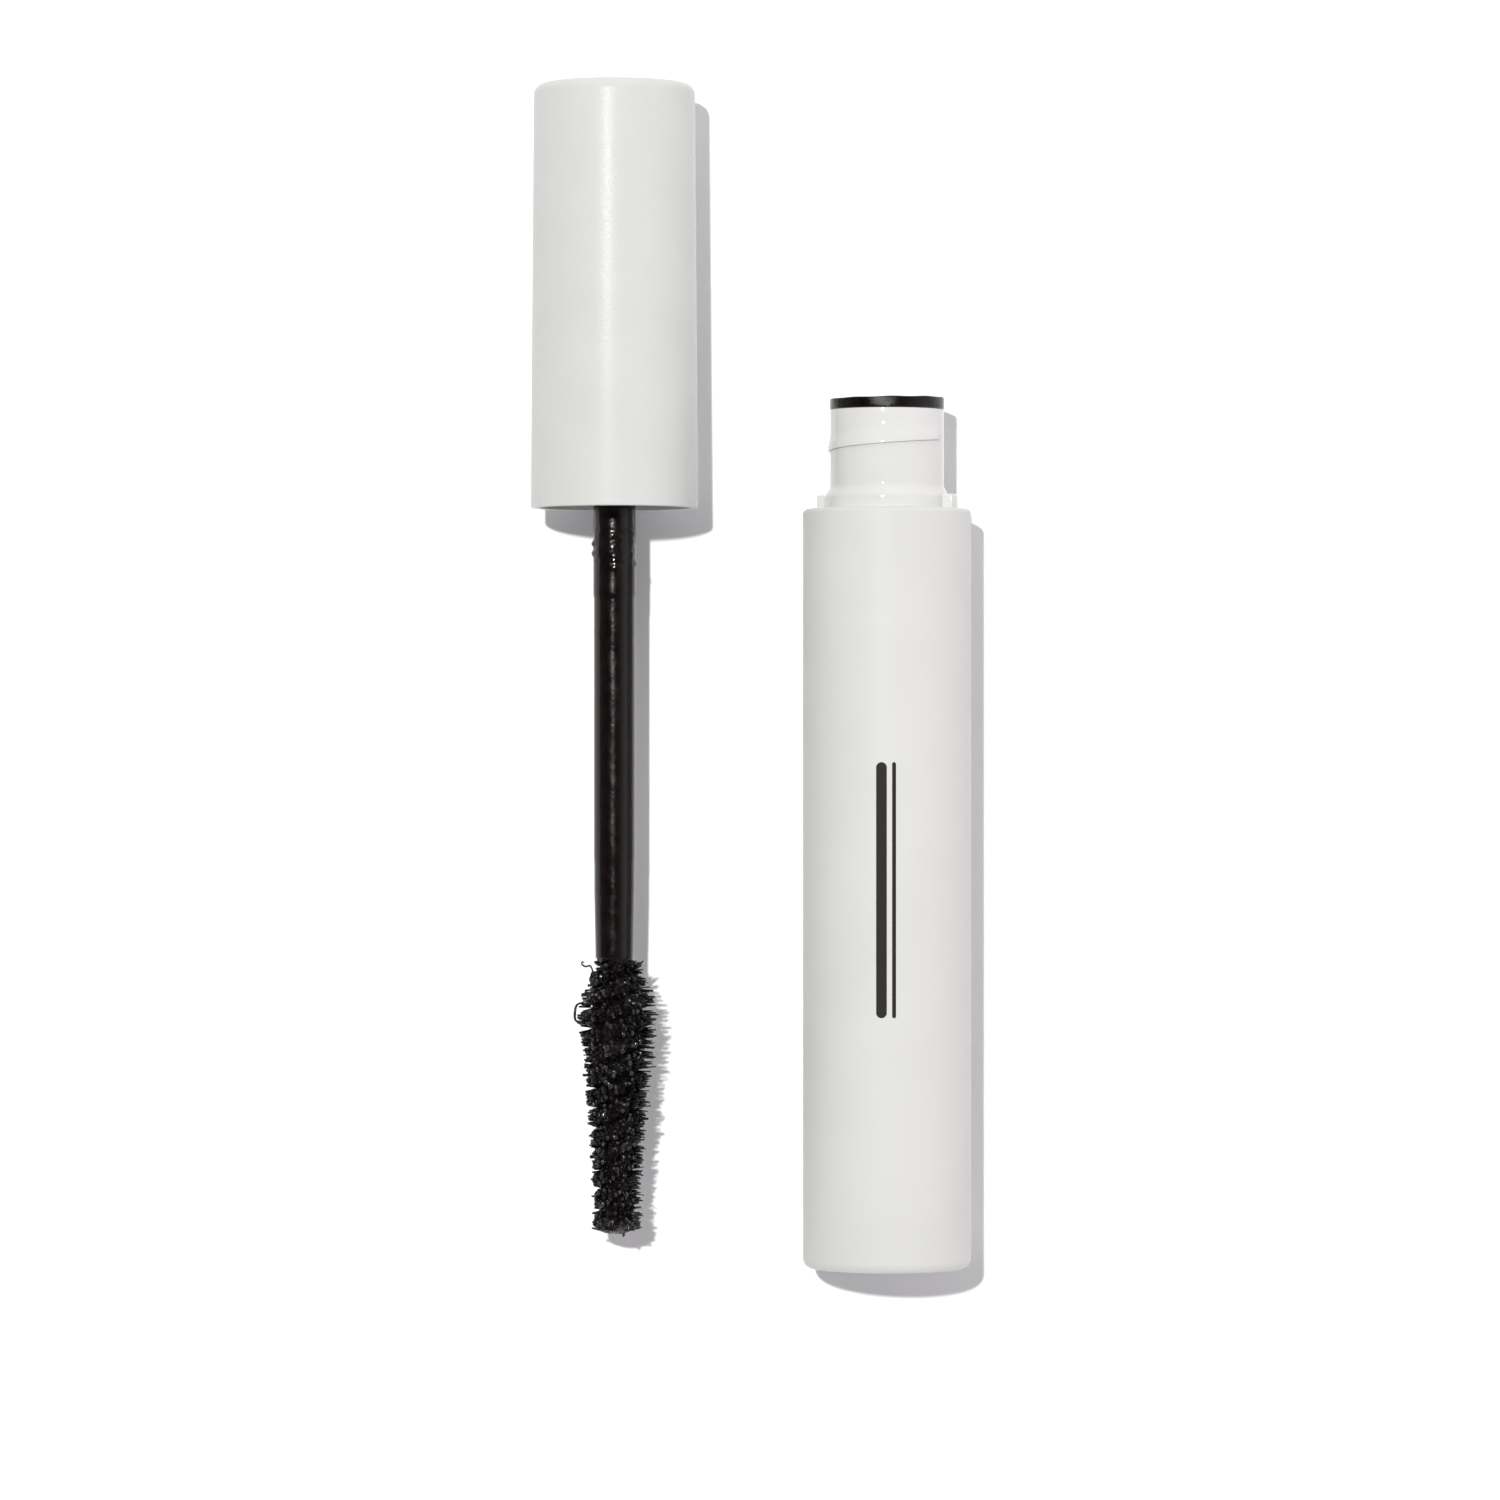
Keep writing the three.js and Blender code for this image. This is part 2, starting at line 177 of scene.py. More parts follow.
def strands(name, paths, radii, sides, flat=None):
    """Round strands along paths, an array (strand, point, xyz) in metres, with
    radii (strand, point). They all become one mesh with closed ends."""
    paths, radii = np.asarray(paths, float), np.asarray(radii, float)
    count, length = paths.shape[:2]
    along = np.gradient(paths, axis=1)
    along /= np.linalg.norm(along, axis=2, keepdims=True)
    guide = np.array(flat if flat is not None else (0, 1, 0), float)
    side = np.cross(along, guide)
    side /= np.linalg.norm(side, axis=2, keepdims=True)
    other = np.cross(side, along)
    a = np.arange(sides) / sides * TURN
    ring = (np.cos(a)[:, None] * side[:, :, None] + np.sin(a)[:, None] * other[:, :, None])
    verts = paths[:, :, None] + ring * radii[:, :, None, None]
    faces = []
    for s in range(count):
        base = s * length * sides
        for i in range(length - 1):
            low = base + i * sides
            for j in range(sides):
                k = (j + 1) % sides
                faces.append((low + k, low + j, low + sides + j, low + sides + k))
        faces.append(tuple(base + j for j in range(sides)))
        last = base + (length - 1) * sides
        faces.append(tuple(last + j for j in reversed(range(sides))))
    return mesh_object(name, verts.reshape(-1, 3), faces, sharp=0)


def applied(piece):
    """The piece with its modifiers made permanent."""
    graph = bpy.context.evaluated_depsgraph_get()
    mesh = bpy.data.meshes.new_from_object(piece.evaluated_get(graph))
    piece.modifiers.clear()
    piece.data = mesh
    return piece


def united(base, *others, sharp=35):
    """Joins solids into one skin with the exact boolean."""
    for other in others:
        joint = base.modifiers.new("union", "BOOLEAN")
        joint.operation, joint.solver, joint.object = "UNION", "EXACT", other
    bpy.context.view_layer.update()
    applied(base)
    for other in others:
        bpy.data.objects.remove(other)
    base.data.polygons.foreach_set("use_smooth", [True] * len(base.data.polygons))
    base.data.set_sharp_from_angle(angle=math.radians(sharp))
    return base


def lumps(x, y, z, size, octaves=1):
    """Smooth noise from -1 to 1 at a place in mm; size is a lump's width."""
    total, weight = 0.0, 1.0
    place = Vector((x, y, z)) / size
    for _ in range(octaves):
        total += weight * noise.noise(place)
        place, weight = place * 2.03, weight * 0.5
    return total


def around_lumps(axis_radius, y, angle, size, octaves=1, shift=0.0):
    """lumps() for a whole ring of angles on a cylinder of that radius."""
    return np.array([lumps(axis_radius * math.sin(a) + shift, y, axis_radius * math.cos(a),
                           size, octaves) for a in angle])


def eased(t):
    t = np.clip(t, 0, 1)
    return t * t * (3 - 2 * t)


# ---- Materials --------------------------------------------------------------

class Shader:
    """A node tree round one Principled shader, in object coordinates (metres)."""

    def __init__(self, name, **sockets):
        self.material = bpy.data.materials.new(name)
        self.material.use_nodes = True
        self.tree = self.material.node_tree
        self.bsdf = self.tree.nodes["Principled BSDF"]
        for socket, value in sockets.items():
            self.bsdf.inputs[socket.replace("_", " ")].default_value = value
        self.place = self.node("ShaderNodeTexCoord").outputs["Object"]

    def node(self, kind, **values):
        made = self.tree.nodes.new(kind)
        for name, value in values.items():
            if hasattr(made, name):
                setattr(made, name, value)
            else:
                made.inputs[name.replace("_", " ")].default_value = value
        return made

    def link(self, a, b):
        self.tree.links.new(a, b)

    def noise(self, width, detail=3.0, roughness=0.5, stretch=(1, 1, 1)):
        """Noise with features about that many mm wide."""
        scaled = self.node("ShaderNodeMapping")
        scaled.inputs["Scale"].default_value = [s / (width * MM) for s in stretch]
        self.link(self.place, scaled.inputs["Vector"])
        made = self.node("ShaderNodeTexNoise", Scale=1.0, Detail=detail, Roughness=roughness)
        self.link(scaled.outputs[0], made.inputs["Vector"])
        return made.outputs["Fac"]

    def ramp(self, value, stops):
        """Maps 0..1 through (position, colour or grey) stops."""
        made = self.node("ShaderNodeValToRGB")
        made.color_ramp.elements.remove(made.color_ramp.elements[1])
        for i, (at, shade) in enumerate(stops):
            rgb = (shade,) * 3 if isinstance(shade, float) else shade
            spot = made.color_ramp.elements[0] if i == 0 else made.color_ramp.elements.new(at)
            spot.position, spot.color = at, (*rgb, 1)
        self.link(value, made.inputs["Fac"])
        return made.outputs["Color"]

    def roughness(self, value):
        self.link(value, self.bsdf.inputs["Roughness"])

    def color(self, value):
        self.link(value, self.bsdf.inputs["Base Color"])

    def bump(self, *heights):
        """Each height is (value 0..1, its height in mm, strength)."""
        normal = None
        for value, depth, strength in heights:
            made = self.node("ShaderNodeBump", Strength=strength, Distance=depth * MM)
            self.link(value, made.inputs["Height"])
            if normal is not None:
                self.link(normal, made.inputs["Normal"])
            normal = made.outputs["Normal"]
        self.link(normal, self.bsdf.inputs["Normal"])


def white_plastic(name, tint, roughness, grain, grain_height, shine=0.12):
    """White moulded plastic: fine surface grain, faint unevenness of tone."""
    s = Shader(name, IOR=1.49, Specular_IOR_Level=shine)
    tone = s.noise(9.0, 2.0)
    light = tuple(c * 1.012 for c in tint)
    dark = tuple(c * 0.985 for c in tint)
    s.color(s.ramp(tone, [(0.35, dark), (0.65, light)]))
    s.roughness(s.ramp(s.noise(0.9, 4.0), [(0.3, roughness - 0.03), (0.7, roughness + 0.03)]))
    s.bump((s.noise(grain, 2.0, 0.6), grain_height, 1.0))
    return s.material


def gloss_plastic():
    """The neck's white gloss. It is faintly wavy along the neck, which breaks up
    its highlight."""
    s = Shader("vial_white", IOR=1.49, Specular_IOR_Level=0.22)
    tone = s.noise(6.0, 2.0)
    s.color(s.ramp(tone, [(0.35, (0.600, 0.601, 0.590)), (0.65, (0.614, 0.615, 0.604))]))
    s.roughness(s.ramp(s.noise(1.2, 3.0), [(0.3, 0.045), (0.7, 0.075)]))
    s.bump((s.noise(5.0, 1.0), 0.09, 1.0), (s.noise(1.5, 1.5, 0.5, (0.3, 1, 0.3)), 0.05, 1.0))
    return s.material


def stem_plastic():
    """Black gloss plastic under a thin uneven film of mascara."""
    s = Shader("stem_black", IOR=1.5, Specular_IOR_Level=0.3)
    film = s.noise(0.8, 5.0, 0.65, stretch=(1, 0.5, 1))
    s.color(s.ramp(film, [(0.3, (0.0026, 0.0014, 0.0012)), (0.7, (0.005, 0.0032, 0.003))]))
    s.roughness(s.ramp(film, [(0.35, 0.13), (0.72, 0.27)]))
    s.bump((s.noise(0.6, 2.0, 0.5, (1, 0.4, 1)), 0.008, 1.0), (s.noise(0.16, 2.0), 0.0035, 1.0))
    return s.material


def wet_mascara(name, rough=(0.10, 0.42), lump=0.35, height=0.05, shine=0.5):
    """Black paste: wet and lumpy, with duller dried patches."""
    s = Shader(name, IOR=1.48, Specular_IOR_Level=shine)
    patch = s.noise(0.9, 5.0, 0.6)
    s.color(s.ramp(patch, [(0.35, (0.0022, 0.0012, 0.001)), (0.7, (0.005, 0.0032, 0.0032))]))
    s.roughness(s.ramp(patch, [(0.35, rough[0]), (0.7, rough[1])]))
    s.bump((s.noise(lump, 4.0, 0.6), height, 1.0), (s.noise(0.1, 2.0), 0.012, 1.0))
    return s.material


def fibre_black():
    s = Shader("bristle_fibre", IOR=1.5, Specular_IOR_Level=0.2)
    coat = s.noise(0.35, 3.0)
    s.color(s.ramp(coat, [(0.35, (0.0016, 0.001, 0.0009)), (0.7, (0.004, 0.0026, 0.0026))]))
    s.roughness(s.ramp(coat, [(0.4, 0.05), (0.7, 0.12)]))
    s.bump((s.noise(0.2, 2.0), 0.02, 1.0))
    return s.material


def steel():
    s = Shader("wire_steel", Metallic=1.0)
    drawn = s.noise(0.05, 2.0, stretch=(1, 0.1, 1))
    s.color(s.ramp(drawn, [(0.3, (0.42, 0.41, 0.40)), (0.7, (0.58, 0.57, 0.56))]))
    s.roughness(s.ramp(drawn, [(0.3, 0.22), (0.7, 0.38)]))
    s.bump((drawn, 0.003, 1.0))
    return s.material


def ink():
    s = Shader("print_ink", IOR=1.5, Specular_IOR_Level=0.12)
    grain = s.noise(0.15, 3.0)
    s.color(s.ramp(grain, [(0.3, (0.010, 0.009, 0.009)), (0.7, (0.022, 0.020, 0.020))]))
    s.roughness(s.ramp(grain, [(0.3, 0.5), (0.7, 0.64)]))
    s.bump((grain, 0.003, 1.0))
    return s.material


def table_white():
    s = Shader("table_white", IOR=1.3)
    s.bsdf.inputs["Specular IOR Level"].default_value = 0.0
    s.color(s.ramp(s.noise(60.0, 1.0), [(0.3, (0.925, 0.925, 0.925)), (0.7, (0.935, 0.935, 0.935))]))
    s.bsdf.inputs["Roughness"].default_value = 1.0
    return s.material


def finished(piece, body, slot, material, *nodes):
    """Gives a piece its material and its body, and hides the CAD nodes it stands for; slot is not used.
    """
    piece.data.materials.clear()
    piece.data.materials.append(material)
    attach(piece, body)
    if nodes:
        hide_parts(*nodes)
    return piece


# ---- Tube -------------------------------------------------------------------

def mm(value):
    return value / MM


def make_sleeve():
    """Barrel with a rounded foot; its rim meets the vial's flange at a fine seam."""
    r, low, high = mm(sleeve.radius), mm(sleeve.start), mm(sleeve.end)
    rim_bore = mm(vial.radius) + SEAM
    bore = r - SLEEVE_WALL
    outline = rounded([
        (0, low), (r, low, FOOT_FILLET), (r, high, RIM_FILLET), (rim_bore, high, 0.06),
        (rim_bore, high - FLANGE_HEIGHT), (bore, high - FLANGE_HEIGHT, 0.1),
        (bore, low + SLEEVE_BASE, 0.6), (0, low + SLEEVE_BASE)], steps=8)
    piece = lathe("sleeve_skin", sleeve, outline, around=256)
    return finished(piece, "tube", "sleeve_plastic",
                    white_plastic("sleeve_white", (0.575, 0.576, 0.563), 0.42, 0.16, 0.0035, shine=0.08),
                    "sleeve")


def helical_ridge(name, axis, section, surface, side, foot, run_outs=(0.09, 0.09)):
    """A screw ridge: its closed section of (reach, up) in mm follows a helix and
    sinks into the surface over the given shares of its length, upper end first."""
    steps = 220
    rings = []
    for i in range(steps + 1):
        t = i / steps
        fade = float(eased(min(t / run_outs[0], (1 - t) / run_outs[1])))
        angle = THREAD_FINISH - t * THREAD_TURNS * TURN
        rise = foot + angle / TURN * THREAD_PITCH
        ring = []
        for reach, up in section:
            lifted = reach * fade - 0.1 * (1 - fade) if reach > -0.05 else reach
            radius = (surface + side * lifted) * MM
            ring.append((axis.x + radius * math.sin(angle), (rise + up) * MM,
                         axis.z + radius * math.cos(angle)))
        rings.append(ring)
    n = len(section)
    faces = []
    for i in range(steps):
        for j in range(n):
            k = (j + 1) % n
            faces.append((i * n + j, i * n + k, (i + 1) * n + k, (i + 1) * n + j))
    faces += [tuple(reversed(range(n))), tuple(steps * n + j for j in range(n))]
    piece = mesh_object(name, [p for ring in rings for p in ring], faces)
    outward(piece)
    return piece


def outward(piece):
    work = bmesh.new()
    work.from_mesh(piece.data)
    bmesh.ops.recalc_face_normals(work, faces=work.faces)
    work.to_mesh(piece.data)
    work.free()


def neck_section():
    """Steep lower flank, rounded crest and a long slope that dies away upward."""
    slope = [(THREAD_HEIGHT * (0.5 + 0.5 * math.cos(math.pi * t)), 0.1 + (THREAD_SLOPE - 0.1) * t)
             for t in np.linspace(0, 1, 9)]
    crest = [(THREAD_HEIGHT * 0.9, 0.0), (THREAD_HEIGHT, 0.04)]
    return [(-0.4, 0.0), (-0.04, 0.0), *crest, *slope[:-1], (-0.04, THREAD_SLOPE),
            (-0.4, THREAD_SLOPE)]


def stop_lug(angle):
    """Small block with rounded edges, rooted in the collar and the flange."""
    root = 0.8
    low, high = mm(sleeve.end) - root, mm(sleeve.end) + LUG_HEIGHT
    work = bmesh.new()
    bmesh.ops.create_cube(work, size=1.0)
    bmesh.ops.scale(work, verts=work.verts, vec=((LUG_REACH + root) * MM, (high - low) * MM,
                                                 LUG_WIDTH * MM))
    bmesh.ops.bevel(work, geom=work.edges[:], offset=0.16 * MM, segments=4, profile=0.5,
                    affect="EDGES")
    lug = from_bmesh("lug", work)
    reach = (COLLAR_RADIUS + (LUG_REACH - root) / 2) * MM
    spin = np.array(((math.cos(angle), 0, -math.sin(angle)), (0, 1, 0),
                     (math.sin(angle), 0, math.cos(angle))))
    place = np.array([v.co for v in lug.data.vertices]) + (reach, (low + high) / 2 * MM, 0)
    place = place @ spin.T + (vial.x, 0, vial.z)
    lug.data.vertices.foreach_set("co", place.astype(np.float32).ravel())
    lug.data.update()
    return lug


def make_vial():
    """Inner bottle: collar, flared neck with its thread and two stop lugs."""
    rim, mouth = mm(sleeve.end), mm(vial.end)
    neck = mm(wiper.radius)
    flange, seat = mm(vial.radius), rim - FLANGE_HEIGHT
    outer = mm(sleeve.radius) - SLEEVE_WALL - FIT
    bore, neck_bore = outer - VIAL_WALL, neck - NECK_WALL
    floor = mm(vial.start) + VIAL_FLOOR
    collar_top = rim + COLLAR_HEIGHT
    flare = [np.array((neck + (COLLAR_RADIUS - neck) * (1 - eased(t)), collar_top - 0.25
                       + (FLARE_HEIGHT + 0.25) * t)) for t in np.linspace(0, 1, 12)]
    outline = rounded([
        (0, mm(vial.start)), (outer, mm(vial.start), 0.8), (outer, seat, 0.1), (flange, seat, 0.1),
        (flange, rim, 0.06), (COLLAR_RADIUS, rim, 0.12), (COLLAR_RADIUS, collar_top - 0.25)])
    outline += flare[1:]
    outline += rounded([
        (neck, mouth - 2), (neck, mouth, 0.12), (neck_bore, mouth, 0.15), (neck_bore, seat, 0.3),
        (bore, seat - SHOULDER_DEPTH, 0.8), (bore, floor, 1.0), (0, floor)])
    body = lathe("vial_skin", vial, dense(outline, 0.8), around=256)
    thread = helical_ridge("thread", vial, neck_section(), neck, 1, mouth - THREAD_DROP,
                           (0.02, 0.09))
    # turning by +angle about Y takes +X toward -Z, so the lugs lie above and below
    united(body, thread, stop_lug(LUG_ANGLE), stop_lug(LUG_ANGLE + math.pi), sharp=30)
    return finished(body, "tube", "vial_plastic", gloss_plastic(), "vial")


def make_wiper():
    """Flanged black sleeve that narrows to the lip."""
    mouth, top, lip = mm(vial.end), mm(wiper.end), mm(wiper.start)
    neck = mm(wiper.radius)
    body = neck - NECK_WALL - FIT
    cone = lip + WIPER_CONE
    outline = rounded([
        (LIP_BORE, lip, 0.05), (LIP_BORE + WIPER_WALL, lip, 0.15), (body, cone, 1.0),
        (body, mouth, 0.1), (neck, mouth, 0.1), (neck, top, 0.2), (body - WIPER_WALL, top, 0.3),
        (body - WIPER_WALL, cone, 1.0), (LIP_BORE, lip + WIPER_WALL, 0.2)], closed=True)
    piece = lathe("wiper_skin", wiper, outline, around=192, closed=True)
    return finished(piece, "tube", "wiper_plastic", wet_mascara("wiper_black", (0.15, 0.3), 1.2, 0.02),
                    "wiper")


def make_mouth_product():
    """Mascara that has dried and gathered over the wiper's flange, thickest on
    the side where the brush was last dragged out."""
    mouth, top, neck = mm(vial.end), mm(wiper.end), mm(wiper.radius)
    inner = neck - NECK_WALL - FIT - WIPER_WALL
    outline = rounded([
        (neck - 0.3, mouth + 0.12, 0.05), (neck + 0.02, mouth + 0.04, 0.08),
        (neck + 0.02, top + 0.13, 0.22), (inner + 0.1, top + 0.1, 0.3), (inner - 0.12, top - 1.6, 0.05),
        (inner + 0.15, top - 1.7, 0.05), (inner + 0.3, top - 0.35, 0.1),
        (neck - 0.4, top - 0.35, 0.1)], closed=True)
    outline = dense(outline + outline[:1], 0.09)[:-1]

    def swell(r, y, angle):
        coarse = around_lumps(r, y, angle, 1.6, 2)
        fine = around_lumps(r, y, angle, 0.35, 2, shift=9.0)
        outer = 0.02 if r > neck - 0.2 else 0.08
        return outer * coarse + 0.012 * fine

    piece = lathe("mouth_product", wiper, outline, around=360, closed=True, relief=swell, sharp=0)
    low, high = top - 0.1, top + 0.2
    co = np.array([v.co for v in piece.data.vertices])
    angle = np.arctan2(co[:, 0] - wiper.x, co[:, 2] - wiper.z)
    lift = eased((co[:, 1] / MM - low) / (high - low))
    heap = 0.1 * np.sin(angle) - 0.08 * np.cos(angle) + 0.03 * np.sin(9 * angle + 1)
    co[:, 1] += lift * heap * MM
    piece.data.vertices.foreach_set("co", co.astype(np.float32).ravel())
    piece.data.update()
    return finished(piece, "tube", "mascara",
                    wet_mascara("mouth_mascara", (0.1, 0.26), 0.22, 0.04, 0.22))


def make_paste():
    """The paste in the vial: its top is torn and its channel is ragged."""
    low, high, r = mm(paste.start), mm(paste.end), mm(paste.radius)
    channel = r - 1.3
    outline = rounded([(0, low), (r, low, 0.4), (r, high - 0.15, 0.25), (channel, high - 0.15, 0.3),
                       (channel, low + 0.7, 0.5), (0, low + 0.7)])

    def ragged(radius, y, angle):
        inside = 0.22 if radius < r - 0.2 and y > low + 1 else 0.02
        return -abs(inside * around_lumps(radius, y, angle, 1.8, 2))

    piece = lathe("paste", paste, dense(outline, 0.5), around=96, relief=ragged)
    return finished(piece, "paste", "mascara", wet_mascara("paste_mascara"), "product")


STRIPES = ((-0.75, 1.1), (0.55, 0.4))  # place across the sleeve and width, in mm
INK_FILM = 0.02


def make_print():
    """Two plain stripes with round ends on the middle third of the sleeve's
    length, as a thin film of ink."""
    r = mm(sleeve.radius)
    length, middle = mm(sleeve.end - sleeve.start) / 3, mm(sleeve.start + sleeve.end) / 2
    work = bmesh.new()
    for place, width in STRIPES:
        turn = np.linspace(0.12, math.pi / 2, 10)
        inset, half = width / 2 * (1 - np.cos(turn)), width / 2 * np.sin(turn)
        along = np.concatenate([inset - length / 2, (length / 2 - inset)[::-1]])
        halves = np.concatenate([half, half[::-1]])
        rings = []
        for y, w in zip(along, halves):
            across = place + np.linspace(-w, w, 9)
            top = [(x, r + INK_FILM / 2) for x in across]
            under = [(x, r - INK_FILM / 2) for x in across[::-1]]
            rings.append([work.verts.new((sleeve.x + out * math.sin(x / r) * MM, (middle + y) * MM,
                                          sleeve.z + out * math.cos(x / r) * MM))
                          for x, out in top + under])
        for one, two in zip(rings, rings[1:]):
            for i in range(len(one)):
                j = (i + 1) % len(one)
                work.faces.new((one[i], one[j], two[j], two[i]))
        work.faces.new(rings[0])
        work.faces.new(rings[-1])
    bmesh.ops.recalc_face_normals(work, faces=work.faces)
    return finished(from_bmesh("printed_stripes", work), "tube", "wiper_plastic", ink())


# ---- Wand -------------------------------------------------------------------

def make_overcap():
    """Long tapered cap with a finely grained, faintly pearly skin."""
    low, high, rim = mm(cap.start), mm(cap.end), mm(cap.radius)
    top = rim - CAP_TAPER
    ledge = mm(inner_cap.end)

    def bore(y):
        return rim - CAP_WALL - CAP_TAPER * (y - low) / (high - low)

    ceiling = high - CAP_ROOF
    outline = rounded([
        (0, ceiling), (bore(ceiling) - LEDGE_WIDTH, ceiling, 0.8),
        (bore(ledge) - LEDGE_WIDTH, ledge, 0.1), (bore(ledge), ledge, 0.1), (bore(low), low, 0.1),
        (rim, low, 0.14), (top, high, CAP_TOP_FILLET), (0, high)], steps=9)
    piece = lathe("overcap_skin", cap, outline, around=256)
    s = Shader("cap_pearl", IOR=1.5, Specular_IOR_Level=0.1)
    tone = s.noise(8.0, 2.0)
    s.color(s.ramp(tone, [(0.35, (0.542, 0.545, 0.536)), (0.65, (0.557, 0.560, 0.551))]))
    s.roughness(s.ramp(s.noise(0.16, 2.0), [(0.35, 0.26), (0.65, 0.36)]))
    s.bump((s.noise(0.34, 1.5, 0.6), 0.013, 1.0), (s.noise(1.1, 2.0), 0.012, 1.0))
    return finished(piece, "wand", "cap_plastic", s.material, "overcap")


def make_inner_cap():
    """Threaded socket inside the cap, with the roof that the stem hangs from."""
    low, high, r = mm(inner_cap.start), mm(inner_cap.end), mm(inner_cap.radius)
    crest = mm(wiper.radius) + THREAD_HEIGHT
    socket = crest + FIT
    roof = mm(wiper.end) + ROOF_GAP
    seat, hole, cup = roof + ROOF_THICKNESS, STEM_RADIUS + 0.05, mm(stem.radius) + FIT
    outline = rounded([
        (socket + 0.4, low, 0.1), (r, low, 0.2), (r, high, 0.1), (cup, high, 0.1), (cup, seat, 0.3),
        (hole, seat), (hole, roof), (socket, roof, 0.3), (socket, low + 0.8, 0.2)], closed=True)
    piece = lathe("inner_cap_skin", inner_cap, outline, around=192, closed=True)
    section = [(-0.3, -0.3), (0.0, -0.25), (0.22, -0.08), (0.22, 0.08), (0.0, 0.25), (-0.3, 0.3)]
    ridge = helical_ridge("cap_thread", inner_cap, section, socket, -1,
                          mm(vial.end) - THREAD_DROP - 0.7)
    united(piece, ridge)
    return finished(piece, "wand", "inner_plastic",
                    white_plastic("inner_white", (0.66, 0.655, 0.66), 0.35, 0.3, 0.006), "inner_cap")


# angle, mm below the cap's rim, height and width of each bead
STEM_BEADS = [(-1.45, 3.7, 0.2, 0.42), (-1.5, 4.7, 0.2, 0.45), (1.45, 5.75, 0.14, 0.35),
              (-0.15, 3.0, 0.05, 0.5), (0.1, 6.2, 0.05, 0.6)]


def stem_film(y, angle):
    """Mascara on the stem at y (mm), for a ring of angles: a film, thicker under
    the cap, and the beads that the wiper pushed up."""
    below = mm(cap.start) - y
    thick = 0.04 + 0.04 * eased((37.5 - below) / 1.5) + 0.06 * eased((9.4 - below) / 0.4)
    film = thick + 0 * angle
    for turn, drop, high, wide in STEM_BEADS:
        apart = (STEM_RADIUS * (angle - turn)) ** 2 + (1.4 * (below - drop)) ** 2
        film = film + high * np.exp(-apart / wide**2)
    return film


def make_stem():
    """Black rod; beads of mascara gather on it where the wiper held it."""
    low, high = mm(stem.start), mm(stem.end)
    roof = mm(wiper.end) + ROOF_GAP
    seat, head = roof + ROOF_THICKNESS, mm(stem.radius)
    bore, bore_end = WIRE_RADIUS + TWIST_RADIUS + 0.08, mm(wire.end) + 0.3
    shown = rounded([(bore, low, 0.05), (STEM_TIP_RADIUS, low, 0.2), (STEM_RADIUS, low + STEM_TAPER),
                     (STEM_RADIUS, seat, 0.1), (head, seat, 0.2), (head, high, 0.3), (0, high)])
    outline = [np.array((0, bore_end)), np.array((bore, bore_end))] + dense(shown, 0.12)
    near_rim = mm(cap.start)

    def film(r, y, angle):
        if r < 1.5 or r > 2.4 or y > near_rim + 4:
            return 0.0
        gathered = float(eased((y - near_rim + 7.0) / 1.5)) * float(eased((near_rim - 1.6 - y) / 0.6))
        creases = around_lumps(r, y * 1.6, angle, 0.7, 2)
        fine = around_lumps(r, y, angle, 0.3, 2, shift=20)
        turned = (angle + math.pi) % TURN - math.pi
        return stem_film(y, turned) + 0.05 * gathered * creases + 0.005 * fine

    piece = lathe("stem_skin", stem, outline, around=128, relief=film)
    return finished(piece, "wand", "stem_plastic", stem_plastic(), "stem")


def make_wire():
    """One wire bent double at the tip; its legs are twisted round each other."""
    bend, top = mm(wire.start) + WIRE_RADIUS + TWIST_RADIUS, mm(wire.end) - 0.1
    stations = np.linspace(top, bend, 260)
    turn = (stations - bend) / TWIST_PITCH * TURN

    def leg(start):
        return np.stack([wire.x + TWIST_RADIUS * MM * np.sin(turn + start), stations * MM,
                         wire.z + TWIST_RADIUS * MM * np.cos(turn + start)], axis=1)

    nose = [(wire.x, (bend - TWIST_RADIUS * math.sin(a)) * MM,
             wire.z + TWIST_RADIUS * MM * math.cos(a)) for a in np.linspace(0, math.pi, 12)[1:-1]]
    path = np.concatenate([leg(0), nose, leg(math.pi)[::-1]])
    piece = strands("brush_wire_skin", path[None], np.full((1, len(path)), WIRE_RADIUS * MM), 10,
                    flat=(0.37, 0.11, 0.92))
    return finished(piece, "wand", "wire", steel(), "brush_wire")


# ---- Brush ------------------------------------------------------------------

ROW_HEIGHT = 2.1  # rows are tilted: each is a row higher on the +X side than on the -X side
LEAN = 0.32  # the bristles reach further on the +X side
TUFTS_ALONG, TUFTS_ROUND = 4, 20  # tufts in a row's height, and round the brush
ROW_SLOTS = 97  # rows are told apart up to this many
FIBRE_COUNT, FIBRE_STEPS = 4200, 6


def envelope(y):
    """Bristle length from the axis at y (mm), from the CAD rows."""
    spots = sorted((mm(r.start + r.end) / 2, mm(r.radius)) for r in rows)
    return np.interp(y, [p[0] for p in spots], [p[1] for p in spots])


def reach_at(y, angle):
    return envelope(y) + LEAN * np.sin(angle)


def row_phase(y, angle):
    """Counts rows along the brush; whole numbers are the grooves between them."""
    return y / ROW_HEIGHT - 0.5 * np.sin(angle)


